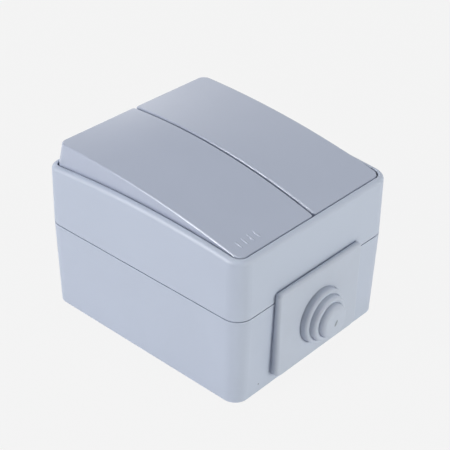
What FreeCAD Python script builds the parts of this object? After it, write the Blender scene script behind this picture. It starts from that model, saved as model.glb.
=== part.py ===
import FreeCAD, Part
import math
import os
from types import SimpleNamespace

import Sketcher

# Outdoor weatherproof two-gang rocker switch, surface mounted.
# Row frame: +X along the short side, +Y along the long side away from the cable entry,
# +Z out of the wall, origin at the centre of the flat back face. Lengths are in millimetres.

SIZES = [
    # Outline of the housing at the parting line
    ("box_width", "66"),
    ("box_length", "76.75"),
    ("corner_radius", "5.1"),
    # Base box
    ("parting_height", "28.51"),
    ("parting_gap", "0.34"),
    ("base_draft", "1.45"),
    ("base_wall", "2.2"),
    ("floor_thickness", "2"),
    ("cavity_corner", "1"),
    ("tongue_inset", "1.1"),
    ("tongue_thickness", "0.9"),
    ("tongue_height", "1.8"),
    # Corner pillars and the screws that hold the cover
    ("pillar_inset", "6.4"),
    ("pillar_radius", "4.4"),
    ("seat_radius", "3.4"),
    ("pilot_radius", "1.25"),
    ("pilot_depth", "15"),
    ("screw_core_radius", "1.2"),
    ("screw_clearance_radius", "1.7"),
    ("cover_screw_head_radius", "2.8"),
    ("cover_screw_head_height", "2.2"),
    ("cover_screw_length", "18"),
    ("counterbore_radius", "3.3"),
    ("counterbore_depth", "3.6"),
    ("seal_thickness", "0.8"),
    # Holes that fix the box to the wall
    ("fixing_x", "15"),
    ("fixing_end_inset", "10.375"),
    ("fixing_radius", "2.25"),
    ("fixing_boss_radius", "4.5"),
    ("fixing_boss_height", "1"),
    # Cable entry grommet
    ("slot_side_room", "4"),
    ("slot_bottom", "5.5"),
    ("slot_corner", "3"),
    ("plate_side_lap", "2.55"),
    ("plate_bottom", "2.7"),
    ("plate_lap", "3.3"),
    ("plate_proud", "2"),
    ("plate_edge", "1.2"),
    ("plate_rebate_depth", "0.55"),
    ("plate_rebate_inset", "0.55"),
    ("plate_top_corner", "1.5"),
    ("plate_bottom_corner", "2.6"),
    ("grommet_fit", "0.05"),
    ("flange_lap", "2.2"),
    ("flange_thickness", "1.4"),
    ("ring_height", "16.2"),
    ("ring_radius", "8.7"),
    ("ring_rise", "2.2"),
    ("middle_ring_radius", "7.1"),
    ("middle_ring_rise", "1.85"),
    ("nose_radius", "5.3"),
    ("nose_rise", "1.85"),
    ("ring_taper", "0.1"),
    ("ring_edge", "1.05"),
    ("ring_groove_width", "0.3"),
    ("ring_groove_depth", "0.35"),
    ("nose_edge", "1.3"),
    ("rubber_skin", "1.15"),
    ("dimple_radius", "1"),
    ("dimple_depth", "0.6"),
    # Cover frame
    ("cover_draft", "0.6"),
    ("rim_end_rise", "19.01"),
    ("rim_arch", "1.97"),
    ("rim_fall", "0.16"),
    ("rim_edge", "1.5"),
    ("rim_inner_edge", "0.25"),
    ("rim_width", "1.96"),
    ("well_corner", "3"),
    ("deck_rise", "8.75"),
    ("deck_thickness", "2"),
    ("skirt_wall", "3.1"),
    ("groove_inset", "0.95"),
    ("groove_width", "1.2"),
    ("groove_depth", "2.5"),
    ("gasket_fit", "0.05"),
    ("window_radius", "5"),
    ("stake_inset", "2.5"),
    ("stake_y", "14"),
    ("stake_radius", "1.1"),
    ("stake_head", "0.4"),
    # Sealing membrane and the plate that holds it
    ("membrane_thickness", "0.8"),
    ("membrane_side_room", "3.4"),
    ("membrane_half_length", "18.5"),
    ("dome_base_radius", "4.6"),
    ("dome_tip_radius", "3.95"),
    ("dome_skin", "0.65"),
    ("dome_edge", "0.6"),
    ("dome_gap", "0.15"),
    ("retainer_thickness", "1.4"),
    ("retainer_inset", "1"),
    ("retainer_hole_radius", "4"),
    # Rockers, drawn level and then tilted to their rest position
    ("rest_tilt", "6.35"),
    ("push_y", "12"),
    ("pivot_rise", "5.4"),
    ("skirt_drop", "0.5"),
    ("draft_rise", "1.8"),
    ("rocker_end_draft", "7"),
    ("rocker_side_draft", "1.65"),
    ("rocker_gap", "0.3"),
    ("rocker_split_half_gap", "0.15"),
    ("rocker_outer_corner", "2.6"),
    ("rocker_inner_corner", "0.9"),
    ("crown_split_rise", "11.97"),
    ("crown_side_rise", "10.74"),
    ("crown_end_rise", "8.63"),
    ("rocker_edge", "0.45"),
    ("rocker_wall", "1.85"),
    ("rocker_roof", "2"),
    ("hanger_thickness", "2"),
    ("hanger_side_gap", "1"),
    ("pintle_overlap", "0.4"),
    ("pusher_half_width", "4"),
    ("pusher_drop", "3"),
    # Bearing ears, journals and running clearance
    ("ear_inset", "4.3"),
    ("ear_thickness", "2"),
    ("ear_base_half_width", "4.2"),
    ("ear_radius", "3.2"),
    ("journal_radius", "1.5"),
    ("journal_clearance", "0.05"),
    ("snap_slot_half_width", "1.3"),
    # Mechanism block
    ("mechanism_side_room", "5.3"),
    ("mechanism_half_length", "21"),
    ("mechanism_stand", "2"),
    ("mechanism_corner", "1.5"),
    ("chamber_floor_thickness", "3"),
    ("chamber_half_width", "6"),
    ("chamber_half_length", "13"),
    ("rest_start", "8.6"),
    ("rest_rise", "3.45"),
    ("channel_half_width", "2.7"),
    ("terminal_pocket_half_width", "3.7"),
    ("foot_inset", "5.5"),
    ("foot_y", "15"),
    ("foot_radius", "3"),
    ("post_y", "9"),
    ("post_radius", "3.25"),
    ("post_rise", "10"),
    ("post_fit", "0.1"),
    ("mechanism_screw_head_radius", "3"),
    ("mechanism_screw_head_height", "2.2"),
    ("mechanism_screw_start", "1"),
    ("top_plate_thickness", "2"),
    ("top_plate_half_length", "13.2"),
    ("cradle_window_half_width", "5.6"),
    ("cradle_window_half_length", "6.5"),
    ("cheek_offset", "8"),
    ("cheek_thickness", "2.2"),
    ("cheek_base_half_width", "4.4"),
    # Cradles that carry the push from the membrane to the contacts
    ("cheek_rise", "3"),
    ("hub_radius", "3.4"),
    ("hub_half_width", "5.4"),
    ("wing_half_width", "3"),
    ("wing_half_length", "14"),
    ("wing_underside_rise", "1.2"),
    ("wing_top_rise", "4"),
    ("wing_clearance", "0.8516"),
    ("wing_edge", "0.5"),
    ("push_post_radius", "1.7"),
    ("push_post_gap", "0.3"),
    ("push_post_edge", "0.8"),
    ("sleeve_radius", "3.3"),
    ("sleeve_drop", "7.4"),
    ("bore_radius", "2.3"),
    ("bore_rise", "1.4"),
    ("plunger_radius", "2.25"),
    ("plunger_tip_radius", "1.5"),
    ("plunger_tip_gap", "0.15"),
    ("plunger_tip_length", "3.85"),
    ("plunger_top_drop", "5"),
    ("spring_radius", "1.65"),
    ("spring_wire_radius", "0.28"),
    ("spring_pitch", "1.4"),
    ("spring_end_gap", "0.02"),
    # Contact bridges and terminals
    ("bridge_pivot_rise", "4"),
    ("bridge_thickness", "1"),
    ("bridge_half_width", "4"),
    ("bridge_arm", "10.8"),
    ("bridge_rise", "8"),
    ("bridge_tilt", "7"),
    ("lug_radius", "0.6"),
    ("lug_half_length", "5.2"),
    ("button_start", "8.2"),
    ("button_height", "1.2"),
    ("button_half_width", "1.6"),
    ("strip_thickness", "0.8"),
    ("strip_half_width", "2.5"),
    ("fulcrum_half_width", "5.1"),
    ("fulcrum_half_length", "3"),
    ("fulcrum_wall", "0.8"),
    ("fulcrum_rise", "5.6"),
    ("notch_half_width", "0.7"),
    ("load_strip_start", "7"),
    ("fixed_contact_y", "9.4"),
    ("fixed_contact_radius", "1.6"),
    ("fixed_contact_rise", "2.35"),
    ("clamp_half_width", "3.5"),
    ("clamp_start", "14"),
    ("clamp_length", "6"),
    ("clamp_height", "9.2"),
    ("clamp_edge", "0.3"),
    ("wire_hole_rise", "4.2"),
    ("wire_hole_radius", "1.7"),
    ("terminal_screw_hole_radius", "1.5"),
    ("terminal_screw_radius", "1.45"),
    ("terminal_screw_head_radius", "2.7"),
    ("terminal_screw_head_height", "2.2"),
    ("terminal_screw_start", "5.4"),
    # Screw heads
    ("drive_slot_half_width", "0.4"),
    ("drive_slot_depth", "1.1"),
    ("head_edge", "0.5"),
]


class Size:
    """A number together with its formula in the sheet's aliases."""

    def __init__(self, value, text):
        self.value = float(value)
        self.text = text

    @staticmethod
    def of(item):
        if isinstance(item, Size):
            return item
        return Size(item, repr(float(item)))

    def __add__(self, other):
        other = Size.of(other)
        return Size(self.value + other.value, f"({self.text} + {other.text})")

    def __sub__(self, other):
        other = Size.of(other)
        return Size(self.value - other.value, f"({self.text} - {other.text})")

    def __mul__(self, other):
        other = Size.of(other)
        return Size(self.value * other.value, f"({self.text} * {other.text})")

    def __truediv__(self, other):
        other = Size.of(other)
        return Size(self.value / other.value, f"({self.text} / {other.text})")

    def __radd__(self, other):
        return Size.of(other) + self

    def __rsub__(self, other):
        return Size.of(other) - self

    def __rmul__(self, other):
        return Size.of(other) * self

    def __neg__(self):
        return Size(-self.value, f"(0 - {self.text})")


def sine(angle):
    return Size(math.sin(math.radians(angle.value)), f"sin({angle.text})")


def cosine(angle):
    return Size(math.cos(math.radians(angle.value)), f"cos({angle.text})")


def tangent(angle):
    return Size(math.tan(math.radians(angle.value)), f"tan({angle.text})")


doc = FreeCAD.newDocument("weatherproof_switch")
sheet = doc.addObject("Spreadsheet::Sheet", "Sizes")
for row, (alias, number) in enumerate(SIZES, start=1):
    sheet.set(f"A{row}", alias)
    sheet.set(f"B{row}", number)
    sheet.setAlias(f"B{row}", alias)
doc.recompute()
s = SimpleNamespace(**{alias: Size(number, f"Sizes.{alias}") for alias, number in SIZES})

ZERO = Size.of(0)
ALONG_X = FreeCAD.Vector(1, 0, 0)
ALONG_Z = FreeCAD.Vector(0, 0, 1)
NODES = []


# Drawing helpers

def bind(item, name, size):
    item.setExpression(name, Size.of(size).text)


def new_body(label):
    body = doc.addObject("PartDesign::Body", label)
    body.Label = label
    NODES.append(body)
    return body


def new_sketch(body, role, depth=None, across=None, up=None):
    """Sketch on one of the body's origin planes, moved by depth along its normal."""
    plane = [item for item in body.Origin.OriginFeatures if item.Role == role][0]
    sketch = body.newObject("Sketcher::SketchObject", f"{body.Name}_outline")
    sketch.AttachmentSupport = [(plane, "")]
    sketch.MapMode = "FlatFace"
    for axis, size in (("z", depth), ("x", across), ("y", up)):
        if size is not None:
            bind(sketch, f"AttachmentOffset.Base.{axis}", size)
    return sketch


def pin_point(sketch, item, end, point):
    """Hold one point of the sketch at its distances from the sketch's origin."""
    for kind, size in zip(("DistanceX", "DistanceY"), point):
        size = Size.of(size)
        index = sketch.addConstraint(Sketcher.Constraint(kind, -1, 1, item, end, size.value))
        sketch.setExpression(f"Constraints[{index}]", size.text)


def pin_radius(sketch, item, radius):
    index = sketch.addConstraint(Sketcher.Constraint("Radius", item, Size.of(radius).value))
    sketch.setExpression(f"Constraints[{index}]", Size.of(radius).text)


def draw_circle(sketch, x, y, radius):
    centre = FreeCAD.Vector(Size.of(x).value, Size.of(y).value, 0)
    item = sketch.addGeometry(Part.Circle(centre, ALONG_Z, Size.of(radius).value))
    pin_point(sketch, item, 3, (x, y))
    pin_radius(sketch, item, radius)


def draw_polygon(sketch, corners):
    """Closed outline. Each corner is (x, y) when sharp, or (x, y, radius) when rounded."""
    count = len(corners)
    points = [FreeCAD.Vector(Size.of(c[0]).value, Size.of(c[1]).value, 0) for c in corners]
    arcs = {}
    starts = list(points)
    ends = list(points)
    for i, corner in enumerate(corners):
        if len(corner) == 2:
            continue
        radius = Size.of(corner[2]).value
        back = (points[i - 1] - points[i]).normalize()
        ahead = (points[(i + 1) % count] - points[i]).normalize()
        half_angle = back.getAngle(ahead) / 2
        reach = radius / math.tan(half_angle)
        middle = points[i] + (back + ahead).normalize() * (radius / math.sin(half_angle))
        ends[i] = points[i] + back * reach
        starts[i] = points[i] + ahead * reach
        turns_left = back.cross(ahead).z < 0
        arcs[i] = (middle, radius, turns_left)
    lines = []
    for i in range(count):
        lines.append(sketch.addGeometry(Part.LineSegment(starts[i], ends[(i + 1) % count])))
    for i, corner in enumerate(corners):
        line_in = lines[i - 1]
        line_out = lines[i]
        if i not in arcs:
            sketch.addConstraint(Sketcher.Constraint("Coincident", line_in, 2, line_out, 1))
            pin_point(sketch, line_out, 1, corner)
            continue
        middle, radius, turns_left = arcs[i]
        first, last = (ends[i], starts[i]) if turns_left else (starts[i], ends[i])
        angles = [math.atan2((p - middle).y, (p - middle).x) for p in (first, last)]
        circle = Part.Circle(middle, ALONG_Z, radius)
        arc = sketch.addGeometry(Part.ArcOfCircle(circle, angles[0], angles[1]))
        near, far = (1, 2) if turns_left else (2, 1)
        sketch.addConstraint(Sketcher.Constraint("Tangent", line_in, 2, arc, near))
        sketch.addConstraint(Sketcher.Constraint("Tangent", line_out, 1, arc, far))
        pin_radius(sketch, arc, corner[2])
        guide = sketch.addGeometry(Part.Point(points[i]), True)
        pin_point(sketch, guide, 1, corner[:2])
        sketch.addConstraint(Sketcher.Constraint("PointOnObject", guide, 1, line_in))
        sketch.addConstraint(Sketcher.Constraint("PointOnObject", guide, 1, line_out))


def rectangle(half_x, half_y, radius=None, centre_y=ZERO):
    """Corners of a rectangle centred on x = 0."""
    corners = [
        (half_x, centre_y - half_y),
        (half_x, centre_y + half_y),
        (-half_x, centre_y + half_y),
        (-half_x, centre_y - half_y),
    ]
    if radius is None:
        return corners
    return [corner + (radius,) for corner in corners]


def span(x_low, x_high, y_low, y_high):
    return [(x_low, y_low), (x_high, y_low), (x_high, y_high), (x_low, y_high)]


# Feature helpers

def extrude(kind, body, sketch, length, taper=None, symmetric=False, reverse=False):
    feature = body.newObject(f"PartDesign::{kind}", f"{body.Name}_{kind.lower()}")
    feature.Profile = sketch
    bind(feature, "Length", length)
    if taper is not None:
        bind(feature, "TaperAngle", taper)
    if symmetric:
        feature.SideType = "Symmetric"
    feature.Reversed = reverse
    return feature


def pad(body, sketch, length, **options):
    return extrude("Pad", body, sketch, length, **options)


def pocket(body, sketch, length, **options):
    """Cut along the sketch's inward direction, or outward with reverse."""
    return extrude("Pocket", body, sketch, length, **options)


def turn(kind, body, sketch, axis):
    feature = body.newObject(f"PartDesign::{kind}", f"{body.Name}_{kind.lower()}")
    feature.Profile = sketch
    feature.ReferenceAxis = (sketch, [axis])
    feature.Angle = 360
    return feature


def loft(kind, body, sketches):
    feature = body.newObject(f"PartDesign::{kind}", f"{body.Name}_{kind.lower()}")
    feature.Profile = sketches[0]
    feature.Sections = sketches[1:]
    return feature


def round_edges(body, radius, chosen):
    """Fillet every edge of the body's last feature that the test picks."""
    doc.recompute()
    base = body.Tip
    names = [f"Edge{i}" for i, edge in enumerate(base.Shape.Edges, start=1) if chosen(edge)]
    feature = body.newObject("PartDesign::Fillet", f"{body.Name}_fillet")
    feature.Base = (base, names)
    bind(feature, "Radius", radius)
    return feature


def place(body, x=ZERO, tilt=None, pivot_height=ZERO):
    """Set the body down at x, turned about the X axis through its pivot."""
    body.Placement = FreeCAD.Placement(FreeCAD.Vector(), FreeCAD.Rotation(ALONG_X, 1 if tilt else 0))
    bind(body, "Placement.Base.x", x)
    if tilt is None:
        return
    bind(body, "Placement.Rotation.Angle", tilt)
    bind(body, "Placement.Base.y", pivot_height * sine(tilt))
    bind(body, "Placement.Base.z", pivot_height * (1 - cosine(tilt)))


# Sizes that follow from the ones in the sheet

half_width = s.box_width / 2
half_length = s.box_length / 2
base_inset = s.parting_height * tangent(s.base_draft)
tongue_top = s.parting_height + s.tongue_height
pillar_x = half_width - s.pillar_inset
pillar_y = half_length - s.pillar_inset
fixing_y = half_length - s.fixing_end_inset
slot_half_width = pillar_x - s.pillar_radius - s.flange_lap - s.slot_side_room
plate_half_width = slot_half_width + s.plate_side_lap

cover_bottom = s.parting_height + s.parting_gap
groove_top = cover_bottom + s.groove_depth
rim_end_height = cover_bottom + s.rim_end_rise
rim_middle_height = rim_end_height + s.rim_arch
deck_top = cover_bottom + s.deck_rise
deck_bottom = deck_top - s.deck_thickness
well_half_width = half_width - s.rim_width
well_half_length = half_length - s.rim_width
counterbore_floor = deck_top - s.counterbore_depth
head_seat = counterbore_floor + s.seal_thickness
plate_top = cover_bottom + s.plate_lap

membrane_bottom = deck_bottom - s.membrane_thickness
membrane_half_width = half_width - s.skirt_wall - s.membrane_side_room
stake_x = membrane_half_width - s.stake_inset
retainer_bottom = membrane_bottom - s.retainer_thickness

rocker_pivot_height = deck_top + s.pivot_rise
rocker_half_length = well_half_length - s.rocker_gap
rocker_bottom = rocker_pivot_height - s.skirt_drop
rocker_draft_start = rocker_pivot_height + s.draft_rise
crown_split_height = rocker_pivot_height + s.crown_split_rise
crown_side_height = rocker_pivot_height + s.crown_side_rise
crown_end_height = rocker_pivot_height + s.crown_end_rise
pusher_tip_height = rocker_pivot_height - s.pusher_drop
gang_x = well_half_width / 2
gang_half_width = (well_half_width - s.rocker_gap - s.rocker_split_half_gap) / 2
ear_offset = gang_half_width - s.ear_inset
hanger_half_width = ear_offset - s.ear_thickness / 2 - s.hanger_side_gap
pintle_half_length = ear_offset + s.ear_thickness / 2 + s.pintle_overlap
bearing_radius = s.journal_radius + s.journal_clearance

wing_sweep = s.wing_half_length * sine(s.rest_tilt)
cradle_pivot_height = retainer_bottom - s.wing_top_rise - wing_sweep - s.wing_clearance
wing_bottom = cradle_pivot_height + s.wing_underside_rise
wing_top = cradle_pivot_height + s.wing_top_rise
sleeve_bottom = cradle_pivot_height - s.sleeve_drop
bore_top = cradle_pivot_height + s.bore_rise
plunger_top = cradle_pivot_height - s.plunger_top_drop
top_plate_top = cradle_pivot_height - s.cheek_rise
mechanism_height = top_plate_top - s.top_plate_thickness
mechanism_bottom = s.floor_thickness + s.mechanism_stand
mechanism_half_width = half_width - s.base_wall - s.mechanism_side_room
post_height = mechanism_bottom + s.post_rise
foot_x = mechanism_half_width - s.foot_inset
mechanism_screw_end = mechanism_bottom + s.mechanism_screw_start

chamber_floor = mechanism_bottom + s.chamber_floor_thickness
rest_height = chamber_floor + s.rest_rise
bridge_pivot_height = chamber_floor + s.bridge_pivot_rise
plunger_tip_height = bridge_pivot_height + s.bridge_thickness / 2 + s.plunger_tip_gap
plunger_shoulder = plunger_tip_height + s.plunger_tip_length
fulcrum_top = chamber_floor + s.fulcrum_rise
fixed_contact_top = chamber_floor + s.fixed_contact_rise
clamp_top = chamber_floor + s.clamp_height
wire_hole_height = chamber_floor + s.wire_hole_rise
terminal_screw_end = chamber_floor + s.terminal_screw_start
GANGS = (("left", -1), ("right", 1))


def ring(body, sketch_depth, height, outer_inset, inner_inset):
    """Raised or cut ring that follows the housing's outline."""
    sketch = new_sketch(body, "XY_Plane", depth=sketch_depth)
    for inset in (outer_inset, inner_inset):
        corners = rectangle(half_width - inset, half_length - inset, s.corner_radius - inset)
        draw_polygon(sketch, corners)
    return sketch, height


def pillared_outline(wall):
    """Inside of the housing with its four corners left solid for the screws."""
    wall_x = half_width - wall
    wall_y = half_length - wall
    face_x = pillar_x - s.pillar_radius
    face_y = pillar_y - s.pillar_radius
    quarter = [
        (wall_x, face_y, s.cavity_corner),
        (face_x, face_y, s.pillar_radius),
        (face_x, wall_y, s.cavity_corner),
    ]
    corners = list(quarter)
    corners += [(-x, y, radius) for x, y, radius in reversed(quarter)]
    corners += [(-x, -y, radius) for x, y, radius in quarter]
    corners += [(x, -y, radius) for x, y, radius in reversed(quarter)]
    return corners


def corners_at(x, y):
    return [(x, y), (-x, y), (-x, -y), (x, -y)]


def four_circles(body, depth, x, y, radius):
    sketch = new_sketch(body, "XY_Plane", depth=depth)
    for place_x, place_y in corners_at(x, y):
        draw_circle(sketch, place_x, place_y, radius)
    return sketch


def ear_outline(base_height, pivot_height, base_half_width, radius):
    """Side view of a bearing ear: splayed foot, full round top about the pivot."""
    top = pivot_height + radius
    return [
        (-base_half_width, base_height),
        (base_half_width, base_height),
        (radius, pivot_height),
        (radius, top, radius * 0.98),
        (-radius, top, radius * 0.98),
        (-radius, pivot_height),
    ]


# The base box

def make_base_box():
    body = new_body("base_box")
    outline = new_sketch(body, "XY_Plane")
    foot = rectangle(half_width - base_inset, half_length - base_inset, s.corner_radius - base_inset)
    draw_polygon(outline, foot)
    pad(body, outline, s.parting_height, taper=s.base_draft)

    cavity = new_sketch(body, "XY_Plane", depth=s.parting_height)
    draw_polygon(cavity, pillared_outline(s.base_wall))
    pocket(body, cavity, s.parting_height - s.floor_thickness, taper=-s.base_draft)

    outer = s.tongue_inset
    sketch, height = ring(body, s.parting_height, s.tongue_height, outer, outer + s.tongue_thickness)
    pad(body, sketch, height)

    seats = four_circles(body, s.parting_height, pillar_x, pillar_y, s.seat_radius)
    pad(body, seats, s.parting_gap)
    pilots = four_circles(body, cover_bottom, pillar_x, pillar_y, s.pilot_radius)
    pocket(body, pilots, s.pilot_depth)

    bosses = four_circles(body, s.floor_thickness, s.fixing_x, fixing_y, s.fixing_boss_radius)
    pad(body, bosses, s.fixing_boss_height)
    boss_top = s.floor_thickness + s.fixing_boss_height
    fixings = four_circles(body, boss_top, s.fixing_x, fixing_y, s.fixing_radius)
    pocket(body, fixings, boss_top)

    feet = four_circles(body, s.floor_thickness, foot_x, s.foot_y, s.foot_radius)
    pad(body, feet, mechanism_bottom - s.floor_thickness)
    posts = new_sketch(body, "XY_Plane", depth=s.floor_thickness)
    draw_circle(posts, ZERO, s.post_y, s.post_radius)
    draw_circle(posts, ZERO, -s.post_y, s.post_radius)
    pad(body, posts, post_height - s.floor_thickness)
    pilots = new_sketch(body, "XY_Plane", depth=post_height)
    draw_circle(pilots, ZERO, s.post_y, s.pilot_radius)
    draw_circle(pilots, ZERO, -s.post_y, s.pilot_radius)
    pocket(body, pilots, post_height - mechanism_bottom)

    slot = new_sketch(body, "XZ_Plane", depth=half_length + 1)
    above = tongue_top + 1
    draw_polygon(slot, [
        (slot_half_width, above),
        (-slot_half_width, above),
        (-slot_half_width, s.slot_bottom, s.slot_corner),
        (slot_half_width, s.slot_bottom, s.slot_corner),
    ])
    pocket(body, slot, 1 + base_inset + s.base_wall)


# The rubber cable entry

def make_grommet():
    body = new_body("cable_entry_grommet")
    face = half_length + s.plate_proud
    slope = tangent(s.base_draft)
    plate = new_sketch(body, "YZ_Plane")
    draw_polygon(plate, [
        (-face, s.plate_bottom),
        (-face, plate_top),
        (-(half_length - (plate_top - cover_bottom) * tangent(s.cover_draft)), plate_top),
        (-half_length, cover_bottom),
        (-half_length, s.parting_height),
        (-(half_length - (s.parting_height - s.plate_bottom) * slope), s.plate_bottom),
    ])
    pad(body, plate, 2 * plate_half_width, symmetric=True)

    def upright_at(height):
        def test(edge):
            box = edge.BoundBox
            along_y = box.YLength > 1 and box.XLength < 0.01 and box.ZLength < 0.01
            return along_y and abs(box.Center.z - height.value) < 0.01
        return test

    round_edges(body, s.plate_top_corner, upright_at(plate_top))
    round_edges(body, s.plate_bottom_corner, upright_at(s.plate_bottom))
    round_edges(body, s.plate_edge, lambda edge: edge.BoundBox.YMax < 0.001 - face.value)

    # A rebate round the back of the plate lets water drip off clear of the joint.
    rebate = new_sketch(body, "XZ_Plane", depth=half_length + s.plate_rebate_depth)
    for x, low, high in (
        (plate_half_width + 1, s.plate_bottom - 1, plate_top + 1),
        (plate_half_width - s.plate_rebate_inset, s.plate_bottom + s.plate_rebate_inset,
         plate_top - s.plate_rebate_inset),
    ):
        draw_polygon(rebate, span(-x, x, low, high))
    pocket(body, rebate, s.plate_rebate_depth + base_inset + s.plate_rebate_depth / 2)

    # The neck fills the slot in the wall and the notch in the cover.
    inner_face = half_length - s.base_wall - (s.parting_height - s.slot_bottom + s.flange_lap) * slope
    flange_back = inner_face - s.flange_thickness
    neck_start = half_length + s.plate_proud / 2
    neck = new_sketch(body, "XZ_Plane", depth=neck_start)
    reach = slot_half_width - s.grommet_fit
    low = s.slot_bottom + s.grommet_fit
    draw_polygon(neck, [
        (reach, tongue_top),
        (-reach, tongue_top),
        (-reach, low, s.slot_corner - s.grommet_fit),
        (reach, low, s.slot_corner - s.grommet_fit),
    ])
    pad(body, neck, neck_start - flange_back, reverse=True)

    flange = new_sketch(body, "YZ_Plane")
    flange_bottom = s.slot_bottom - s.flange_lap
    wall_top = half_length - s.base_wall - s.grommet_fit
    draw_polygon(flange, [
        (-flange_back, flange_bottom),
        (-flange_back, s.parting_height),
        (-wall_top, s.parting_height),
        (-(wall_top - (s.parting_height - flange_bottom) * slope), flange_bottom),
    ])
    pad(body, flange, 2 * (slot_half_width + s.flange_lap), symmetric=True)

    # Three stepped rings on the plate, hollow behind, to be cut to the cable's size. A groove
    # guides the knife at the foot of each ring.
    foot = new_sketch(body, "XZ_Plane", depth=face, up=s.ring_height)
    draw_circle(foot, ZERO, ZERO, s.ring_radius + s.ring_groove_width)
    pocket(body, foot, s.ring_groove_depth)
    steps = [
        (s.ring_radius, s.ring_rise, s.ring_edge),
        (s.middle_ring_radius, s.middle_ring_rise, s.ring_edge),
        (s.nose_radius, s.nose_rise, s.nose_edge),
    ]
    outer = [(-(face - s.plate_edge), ZERO), (-(face - s.plate_edge), s.ring_radius)]
    inner = [(-(flange_back - 1), ZERO), (-(flange_back - 1), s.ring_radius - s.rubber_skin)]
    front = face
    for index, (radius, rise, edge) in enumerate(steps):
        if index > 0:
            outer.append((-front, radius + s.ring_groove_width))
            outer.append((-(front - s.ring_groove_depth), radius))
            inner.append((-(front - s.rubber_skin), radius - s.rubber_skin))
        front = front + rise
        outer.append((-front, radius - s.ring_taper, edge))
        inner.append((-(front - s.rubber_skin), radius - s.rubber_skin))
    outer.append((-front, s.dimple_radius))
    outer.append((-(front - s.dimple_depth), ZERO))
    inner.append((-(front - s.rubber_skin), ZERO))
    rings = new_sketch(body, "YZ_Plane", up=s.ring_height)
    draw_polygon(rings, outer)
    turn("Revolution", body, rings, "H_Axis")
    hollow = new_sketch(body, "YZ_Plane", up=s.ring_height)
    draw_polygon(hollow, inner)
    turn("Groove", body, hollow, "H_Axis")


# The cover frame

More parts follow.
